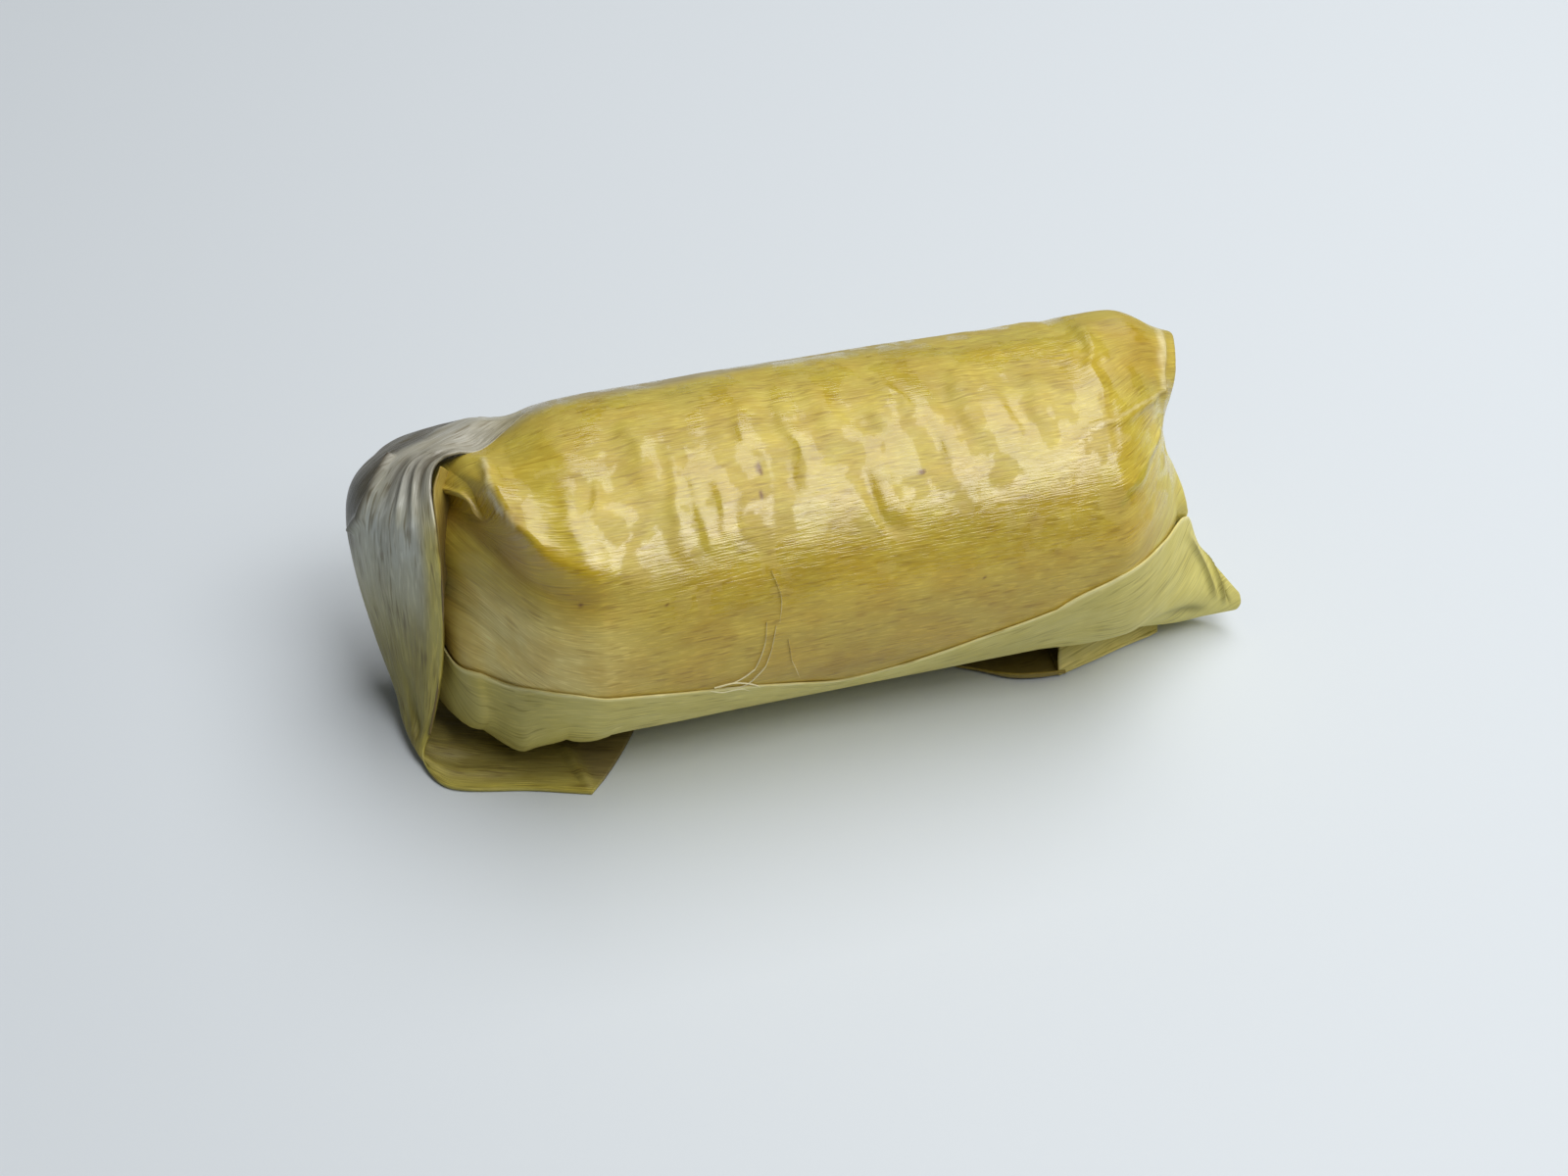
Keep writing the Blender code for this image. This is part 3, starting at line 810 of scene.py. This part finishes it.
bandPiece = {
    "columns": 460, "rows": 84, "length": 120.0, "width": 30.0,
    "pale": (0.66, 0.58, 0.18), "yellow": (0.71, 0.63, 0.18), "shade": (0.44, 0.37, 0.09),
    # the crease colour paints shade into the tail's creases
    "edge": (0.86, 0.78, 0.38), "crease": (0.22, 0.19, 0.03),
    "creases": (  # share along and share up, then half width and height in mm
        (((0.045, 0.55), (0.075, 0.42), (0.12, 0.36)), 0.9, -0.15),
        (((0.1, 0.3), (0.14, 0.4), (0.19, 0.42)), 0.8, 0.12),
        (((0.13, 0.22), (0.16, 0.34), (0.215, 0.36)), 0.7, -0.12),
        (((0.16, 0.8), (0.166, 0.55), (0.175, 0.42)), 0.4, 0.15),
        (((0.9, 0.95), (0.935, 0.7), (0.96, 0.45)), 0.7, -0.45),
        (((0.945, 0.95), (0.962, 0.7), (0.975, 0.4)), 0.45, -0.4),
        (((0.955, 0.9), (0.97, 0.65), (0.985, 0.4)), 0.4, 0.3),
        (((0.84, 0.5), (0.9, 0.42), (0.955, 0.36)), 1.1, 0.3)),
    "specks": ((0.175, 0.62), (0.183, 0.5), (0.21, 0.7), (0.09, 0.6)),
}


def makeBand(piece):
    mesh, v, u = gridMesh("leafBand", piece)
    size = np.array((piece["length"], piece["width"]))
    points = bandPlace(v, u)
    wave = 0.05 * ripple(v * 10, u * 2.5, 21) + 0.03 * ripple(v * 6, u * 12, 22)
    raised = np.maximum(0, ripple(v * 14, 0 * u, 23))
    wave = wave + 0.1 * ramp(0.75, 1.0, u) * ramp(0.2, 0.3, v) * raised
    pressed = np.zeros(len(v))
    for line, width, height in piece["creases"]:
        relief = creaseHeight(v * size[0], u * size[1], np.array(line) * size, width, height)
        wave = wave + relief
        pressed = np.maximum(pressed, np.abs(relief) / abs(height))
    points = points - outwardsOf(bandPlace, v, u) * wave[:, None]
    tail = ramp(0.72, 0.93, v)
    base = painted(
        piece, "pale", v,
        ("shade", 0.55 * drop(0.06, 0.26, v)),
        ("yellow", 0.85 * tail),
        ("shade", 0.2 * between(0.6, 0.82, v, 0.06)),
        ("shade", 0.55 * drop(0.0, 0.4, u) * (1 - tail)),
        # painted shade in the creases at the tail's tip
        ("crease", 0.8 * pressed * ramp(0.86, 0.93, v)),
        ("edge", 0.75 * ramp(0.972, 0.99, u)))
    for atV, atU in piece["specks"]:
        away = np.hypot((v - atV) * size[0] / 0.7, (u - atU) * size[1] / 0.35)
        base = blendColours(piece, base, ("edge", 0.7 * drop(0.5, 1.2, away)))
    dress(mesh, aboveFloor(points, 0.1), base * (1 + 0.09 * ripple(v * 13, u * 3, 24))[:, None],
          lambda a, b: a * 1.25, lambda a, b: b * 0.27 - 24 * np.maximum(a - 0.78, 0) ** 3)
    showPiece(mesh, paleFinish, "leaf_band", bandShape["leaf"])


print("band")
makeBand(bandPiece)


# The strip over the left end, with its tongue under the roll

stripPiece = {
    "columns": 400, "rows": 120, "leaf": 0.42, "length": 140.0, "width": 24.0,
    "lead": 0.2,  # the share ahead of 0, where the strip lies on the roll's ridge
    "silver": (0.54, 0.57, 0.51), "brownGrey": (0.44, 0.41, 0.33), "olive": (0.32, 0.28, 0.07),
    # the back colour is painted shade for the strip's facet that is turned away from the light
    "back": (0.07, 0.055, 0.02), "tongue": (0.36, 0.3, 0.075), "cutEnd": (0.22, 0.17, 0.075),
    "rim": (0.52, 0.45, 0.09), "ridge": (0.4, 0.34, 0.1), "dark": (0.065, 0.05, 0.028),
    "crease": ((0.175, 0.5), (0.215, 0.43), (0.26, 0.4), (0.31, 0.42), (0.35, 0.54)),
    "ridges": (  # share along and share from the front edge, then half width and height in mm
        (((0.09, 0.06), (0.17, 0.07), (0.27, 0.08)), 0.7, 0.45),
        (((0.11, 0.14), (0.19, 0.15), (0.3, 0.14)), 0.65, 0.5),
        (((0.12, 0.22), (0.2, 0.23), (0.29, 0.22)), 0.7, 0.4),
        (((0.15, 0.3), (0.22, 0.29), (0.31, 0.27)), 0.8, 0.35),
        (((0.1, 0.1), (0.2, 0.11), (0.33, 0.1)), 0.4, -0.4),
        (((0.13, 0.185), (0.22, 0.19), (0.32, 0.18)), 0.4, -0.35),
        (((0.52, 0.25), (0.6, 0.2), (0.66, 0.1)), 1.2, 0.5),
        (((0.66, 0.45), (0.74, 0.4), (0.84, 0.42)), 1.6, 0.5),
        (((0.68, 0.2), (0.76, 0.16), (0.9, 0.22)), 1.2, 0.35),
        (((0.925, 0.62), (0.955, 0.3), (0.995, 0.02)), 0.7, 0.6)),
}


def stripPlace(v, u):
    lead = stripPiece["lead"]
    return foldPlace(leftFoldRows, (v + lead) / (1 + lead), u, 0.0)


def makeStrip(piece):
    mesh, v, u = gridMesh("leftStrip", piece)
    v = v * (1 + piece["lead"]) - piece["lead"]
    size = np.array((piece["length"], piece["width"]))
    x, y = v * size[0], u * size[1]
    away, side, along = lineAway(x, y, np.array(piece["crease"]) * size)
    folded = between(0.05, 0.95, along, 0.05)
    relief = -0.9 * folded * np.exp(-((away / 0.8) ** 2)) + 0.12 * ripple(v * 16, u * 7, 32)
    relief = relief + 0.05 * ripple(v * 22, u * 26, 33)
    dents = np.zeros(len(v))
    for line, half, height in piece["ridges"]:
        bar = creaseHeight(x, y, np.array(line) * size, half, height)
        relief, dents = relief + bar, np.maximum(dents, bar / abs(height) * (height > 0))
    points = stripPlace(v, u) + outwardsOf(stripPlace, v, u) * relief[:, None]
    laid = np.maximum(drop(-0.08, 0.03, v), drop(0.04, 0.14, v) * drop(0.02, 0.34, u))
    points = layOnRoll(points, laid, -0.75 + 0.8 * ramp(-0.19, -0.06, v) + 0.5 * relief)
    # painted shade on the facet beyond the fold line and on the inner part near the top, which face away from
    # the light
    shadedFacet = (side > 0) * between(0.0, 1.0, along, 0.02) * ramp(0.2, 1.6, away)
    shadedFacet = np.maximum(shadedFacet, ramp(0.42, 0.6, u) * between(0.12, 0.36, v, 0.07))
    upper = drop(0.16, 0.36, v)
    base = painted(
        piece, "silver", v,
        ("brownGrey", 0.75 * upper),
        ("dark", 0.7 * dents * upper),
        # painted shade on the turned-away facet
        ("back", 0.9 * shadedFacet),
        ("dark", 0.8 * folded * np.exp(-((away / 0.7) ** 2))),
        ("olive", ramp(0.3, 0.52, v)),
        ("tongue", ramp(0.63, 0.72, v)),
        ("cutEnd", 0.8 * ramp(-0.01, 0.02, v - 0.925 - 0.07 * (1 - u / 0.62))),
        ("rim", 0.9 * drop(0.03, 0.09, u) * ramp(0.22, 0.34, v)),
        ("rim", 0.5 * drop(0.06, 0.24, u) * ramp(0.66, 0.74, v)),
        ("ridge", 0.6 * drop(-0.1, 0.04, v) * drop(0.2, 0.6, u)))
    dress(mesh, aboveFloor(points), base * (1 + 0.16 * ripple(v * 9, u * 8, 31))[:, None],
          lambda a, b: a * 1.3, lambda a, b: b * 0.24, ramp(0.3, 0.6, v))
    showPiece(mesh, greyFinish, "left_fold", piece["leaf"])


print("strip")
makeStrip(stripPiece)


# The gusset: the leaf that turns in between the strip's front edge and the roll

gussetPiece = {
    "columns": 150, "rows": 24, "leaf": 0.3,
    "outer": (
        (-51.2, 4.9, 38), (-52.6, 2.6, 36.2), (-53.1, -0.9, 32.8), (-53.4, -3.6, 27.4), (-53.6, -4.6, 23.5),
        (-53.9, -5, 20), (-54.5, -5.6, 14), (-55.8, -6.6, 8), (-57, -7.8, 4)),
    "inner": (
        (-49.7, 5.2, 35.6), (-50.2, 4.4, 33.8), (-51.4, 1.2, 31.2), (-52.4, -0.9, 27.6), (-53.1, -2.6, 23.6),
        (-53.4, -0.8, 19.8), (-53.5, 0.8, 14), (-53.8, 0.6, 8), (-54.2, 0, 4)),
    # the dark colour is painted shade where the gusset goes down into the gap beside the roll
    "light": (0.42, 0.32, 0.055), "dark": (0.2, 0.14, 0.03), "crown": 0.35,
}


def makeGusset(piece):
    mesh, v, u = gridMesh("gusset", piece)
    outer, inner = curveThrough(piece["outer"], v), curveThrough(piece["inner"], v)
    points = outer + (inner - outer) * u[:, None]
    points[:, 2] += piece["crown"] * np.sin(math.pi * u) * drop(0.2, 0.4, v)
    points = layOnRoll(points, ramp(0.8, 1.0, u) * between(0.03, 0.38, v, 0.1), np.full(len(v), -0.1))
    # painted shade: the gusset darkens downwards into the gap
    dress(mesh, points, painted(piece, "light", v, ("dark", ramp(0.12, 0.35, v + 0.1 * u))),
          lambda a, b: a * 0.42, lambda a, b: b * 0.05)
    showPiece(mesh, goldenFinish, None, piece["leaf"])


print("gusset")
makeGusset(gussetPiece)


# The fold over the right end, and the pocket under the band

rightPiece = {
    "columns": 170, "rows": 90, "leaf": 0.35,
    "folds": (  # front edge, middle and back edge, from the end's face down and in under the roll
        ((50.5, 6, 31), (50.6, 1.5, 26), (50.4, -4, 20.5), (52.4, -7.6, 14.6), (55.6, -8.8, 9),
         (55.8, -9.2, 4.4), (52, -9, 2.2), (47, -9.2, 1.9)),
        ((52.6, 9, 31), (53, 7, 25), (53.2, 3.5, 18), (54, 1, 12), (54.5, -1, 6.5), (53.8, -3.2, 2.4),
         (50, -5, 1.2), (44, -6, 0.9)),
        ((50.5, 17, 28), (51.6, 16.5, 23), (52.2, 15, 17), (52.6, 12.5, 10.5), (52.8, 9, 4.5), (51.4, 5, 1),
         (46, 2, 0.5), (38, 0, 0.5))),
    "olive": (0.4, 0.35, 0.12), "shade": (0.22, 0.19, 0.06),
}
pocketPiece = {
    "columns": 110, "rows": 48, "leaf": 0.35,
    "flap": (  # from under the band down to the floor and back under
        ((32.3, -11.6, 4.9), (37, -11, 4.8), (41.6, -10.4, 4.3), (46, -9.6, 3.6), (49.5, -8.8, 2.8)),
        ((31.6, -13.4, 3.1), (36.8, -12.6, 2.9), (41.6, -11.7, 2.4), (46, -10.8, 1.9), (49.2, -10, 1.6)),
        ((31, -15, 1.6), (36.9, -13.7, 1.3), (41.6, -12.6, 1.1), (46, -11.7, 0.9), (48.6, -11, 0.9)),
        ((30.7, -16.3, 0.45), (37, -14.7, 0.42), (41.6, -13.4, 0.42), (46, -12.4, 0.42), (48.2, -11.8, 0.45)),
        ((30.9, -14.6, 0.4), (37, -13, 0.4), (41.6, -11.8, 0.4), (46, -10.9, 0.4), (48.4, -10.4, 0.42)),
        ((31.2, -11.6, 0.4), (37, -10.4, 0.4), (41.6, -9.4, 0.4), (46, -8.8, 0.4), (48.8, -8.4, 0.42))),
    "lip": (  # the lower leaf, from under the roll out to its raised edge
        ((15, -6, 0.4), (19.6, -7, 0.4), (24, -8, 0.4), (28.4, -8.6, 0.4), (33, -9, 0.4)),
        ((15.6, -8.2, 0.4), (20, -10, 0.4), (24, -12.2, 0.4), (28, -13.2, 0.4), (32.6, -13.2, 0.4)),
        ((16.2, -9.4, 0.4), (20.2, -11.8, 0.4), (24, -14.3, 0.4), (27.6, -15.3, 0.4), (31.9, -15.5, 0.4)),
        ((16.4, -9.9, 0.5), (20.3, -12.4, 0.8), (24, -14.9, 1.3), (27.6, -15.9, 1.5), (31.7, -15.9, 0.9))),
    # the inside colour is painted shade within the pocket
    "outside": (0.78, 0.68, 0.24), "insideShade": (0.16, 0.12, 0.03), "raised": (0.34, 0.25, 0.05),
    "edge": (0.6, 0.52, 0.24),
}


def makeRightFold(piece):
    mesh, v, u = gridMesh("rightTongue", piece)
    points = foldPlace(piece["folds"], v, u, piece["leaf"] + 0.02)
    relief = 0.25 * ripple(v * 5, u * 3, 61) + 0.08 * ripple(v * 16, u * 4, 62)
    points = layOnRoll(points, drop(0.25, 0.45, v), -0.6 + 0.75 * ramp(0.04, 0.2, v) + 0.4 * relief)
    dress(mesh, points, painted(piece, "olive", v, ("shade", ramp(0.5, 0.9, v))),
          lambda a, b: a * 0.5, lambda a, b: b * 0.22)
    showPiece(mesh, oliveFinish, "right_fold", piece["leaf"])


def makePocketLeaf(piece, name, paint):
    mesh, v, u = gridMesh("pocket" + name, piece)
    points = loftThrough(piece[name.lower()], v, u)
    points[:, 2] += 0.06 * ripple(v * 6, u * 4, 63)
    colours = paint(v, u) * (1 + 0.12 * ripple(v * 7, u * 9, 64))[:, None]
    dress(mesh, aboveFloor(points, piece["leaf"] + 0.02), colours,
          lambda a, b: a * 0.2, lambda a, b: b * 0.12 + a * 0.05)
    showPiece(mesh, oliveFinish, None, piece["leaf"])


def makePocket(piece):
    # painted shade on the flap's part back under the roll and on the lip leaf, apart from the lip's raised
    # edge
    makePocketLeaf(piece, "Flap", lambda v, u: painted(
        piece, "outside", v, ("edge", 0.7 * drop(0.0, 0.03, v)), ("insideShade", ramp(0.62, 0.75, u))))
    makePocketLeaf(piece, "Lip", lambda v, u: painted(
        piece, "insideShade", v, ("raised", ramp(0.72, 0.86, u))))


print("right fold and pocket")
makeRightFold(rightPiece)
makePocket(pocketPiece)


# Loose fibres that lie over the leaf above the hem

fibrePiece = {
    "thickness": 0.1, "rows": 6, "columns": 40, "colour": (1.0, 0.92, 0.6), "heightShare": 0.3, "above": 0.06,
    "lines": (  # share of the length, degrees, height off the skin in mm
        ((0.395, 16, 0.1), (0.392, 8, 0.5), (0.382, 0, 0.8), (0.366, -6, 0.7), (0.345, -9, 0.4)),
        ((0.405, 14, 0.1), (0.398, 4, 0.6), (0.386, -5, 0.9), (0.372, -11, 0.7), (0.352, -10, 0.4)),
        ((0.418, 8, 0.1), (0.423, 0, 0.5), (0.43, -8, 0.7), (0.436, -14, 0.5)),
        ((0.34, -8, 0.5), (0.362, -7, 1), (0.386, -12, 0.8), (0.398, -18, 0.6)),
        ((0.336, -9.5, 0.5), (0.35, -12, 0.9), (0.372, -13, 0.7), (0.392, -20, 0.5)),
        ((0.405, 33, 0.1), (0.412, 24, 0.3), (0.409, 15, 0.2))),
}


def makeFibres(piece):
    for index, line in enumerate(piece["lines"]):
        mesh, v, u = gridMesh("looseFibre%d" % index, piece)
        spine = curveThrough(line, v)
        s, angle = spine[:, 0], np.radians(spine[:, 1])
        outwards = rollOutwards(s, angle)
        lift = spine[:, 2] * piece["heightShare"] + piece["above"]
        middle = rollSkin(s, angle) + outwards * lift[:, None]
        sideways = np.cross(outwards, (1.0, 0.2, 0.1))
        turn = u * 2 * math.pi
        thick = (piece["thickness"] * (1 - 0.7 * ramp(0.6, 1.0, v)))[:, None]
        around = outwards * np.sin(turn)[:, None] - sideways * np.cos(turn)[:, None]
        dress(mesh, middle + around * thick, painted(piece, "colour", v),
              lambda a, b: a * 0.1, lambda a, b: b * 0.005)
        closeSeams(mesh)
        showPiece(mesh, paleFinish)


print("loose fibres")
makeFibres(fibrePiece)


# Floor, light and camera

stageSettings = {
    "floorSize": 4.0, "floorHeight": -0.0001, "floorRoughness": 0.55,
    "floorColour": (0.685, 0.73, 0.765, 1.0),
    "softboxes": (  # place, size and power
        ("softbox", (0.36, 0.12, 0.85), (0.78, 1.4), 10.4),
        ("front softbox", (0.36, -0.55, 0.8), (0.6, 0.6), 2.9)),
    "skyColour": (0.9, 0.94, 1.0, 1.0), "skyStrength": 0.1,
    "cameraAt": (-0.08611, -0.2075, 0.2083), "cameraAhead": (0.2749, 0.6979, -0.6613),
    "cameraRoll": 4.3, "lens": 49.5, "sensor": 36.0,
}


def makeStage(stage):
    bpy.ops.mesh.primitive_plane_add(size=stage["floorSize"], location=(0, 0, stage["floorHeight"]))
    floor = bpy.context.object
    floor.name = "floor"
    web = NodeWeb("pale floor")
    web.shader.inputs["Base Color"].default_value = stage["floorColour"]
    web.shader.inputs["Roughness"].default_value = stage["floorRoughness"]
    floor.data.materials.append(web.material)
    for name, at, size, power in stage["softboxes"]:
        light = bpy.data.lights.new(name, "AREA")
        light.shape = "RECTANGLE"
        light.size, light.size_y = size
        light.energy = power
        softbox = bpy.data.objects.new(name, light)
        softbox.location = at
        bpy.context.scene.collection.objects.link(softbox)
    world = bpy.data.worlds.new("sky")
    world.use_nodes = True
    background = world.node_tree.nodes["Background"]
    background.inputs["Color"].default_value = stage["skyColour"]
    background.inputs["Strength"].default_value = stage["skyStrength"]
    bpy.context.scene.world = world
    bpy.context.scene.view_settings.view_transform = "Standard"


def makeCamera(stage):
    ahead = Vector(stage["cameraAhead"]).normalized()
    upright = ahead.to_track_quat("-Z", "Y").to_matrix().to_4x4()
    roll = Matrix.Rotation(math.radians(stage["cameraRoll"]), 4, "Z")
    lens = bpy.data.cameras.new("camera")
    lens.lens, lens.sensor_width = stage["lens"], stage["sensor"]
    lens.clip_start = 0.01
    camera = bpy.data.objects.new("camera", lens)
    camera.matrix_world = Matrix.Translation(stage["cameraAt"]) @ upright @ roll
    bpy.context.scene.collection.objects.link(camera)
    bpy.context.scene.camera = camera


print("stage")
makeStage(stageSettings)
makeCamera(stageSettings)
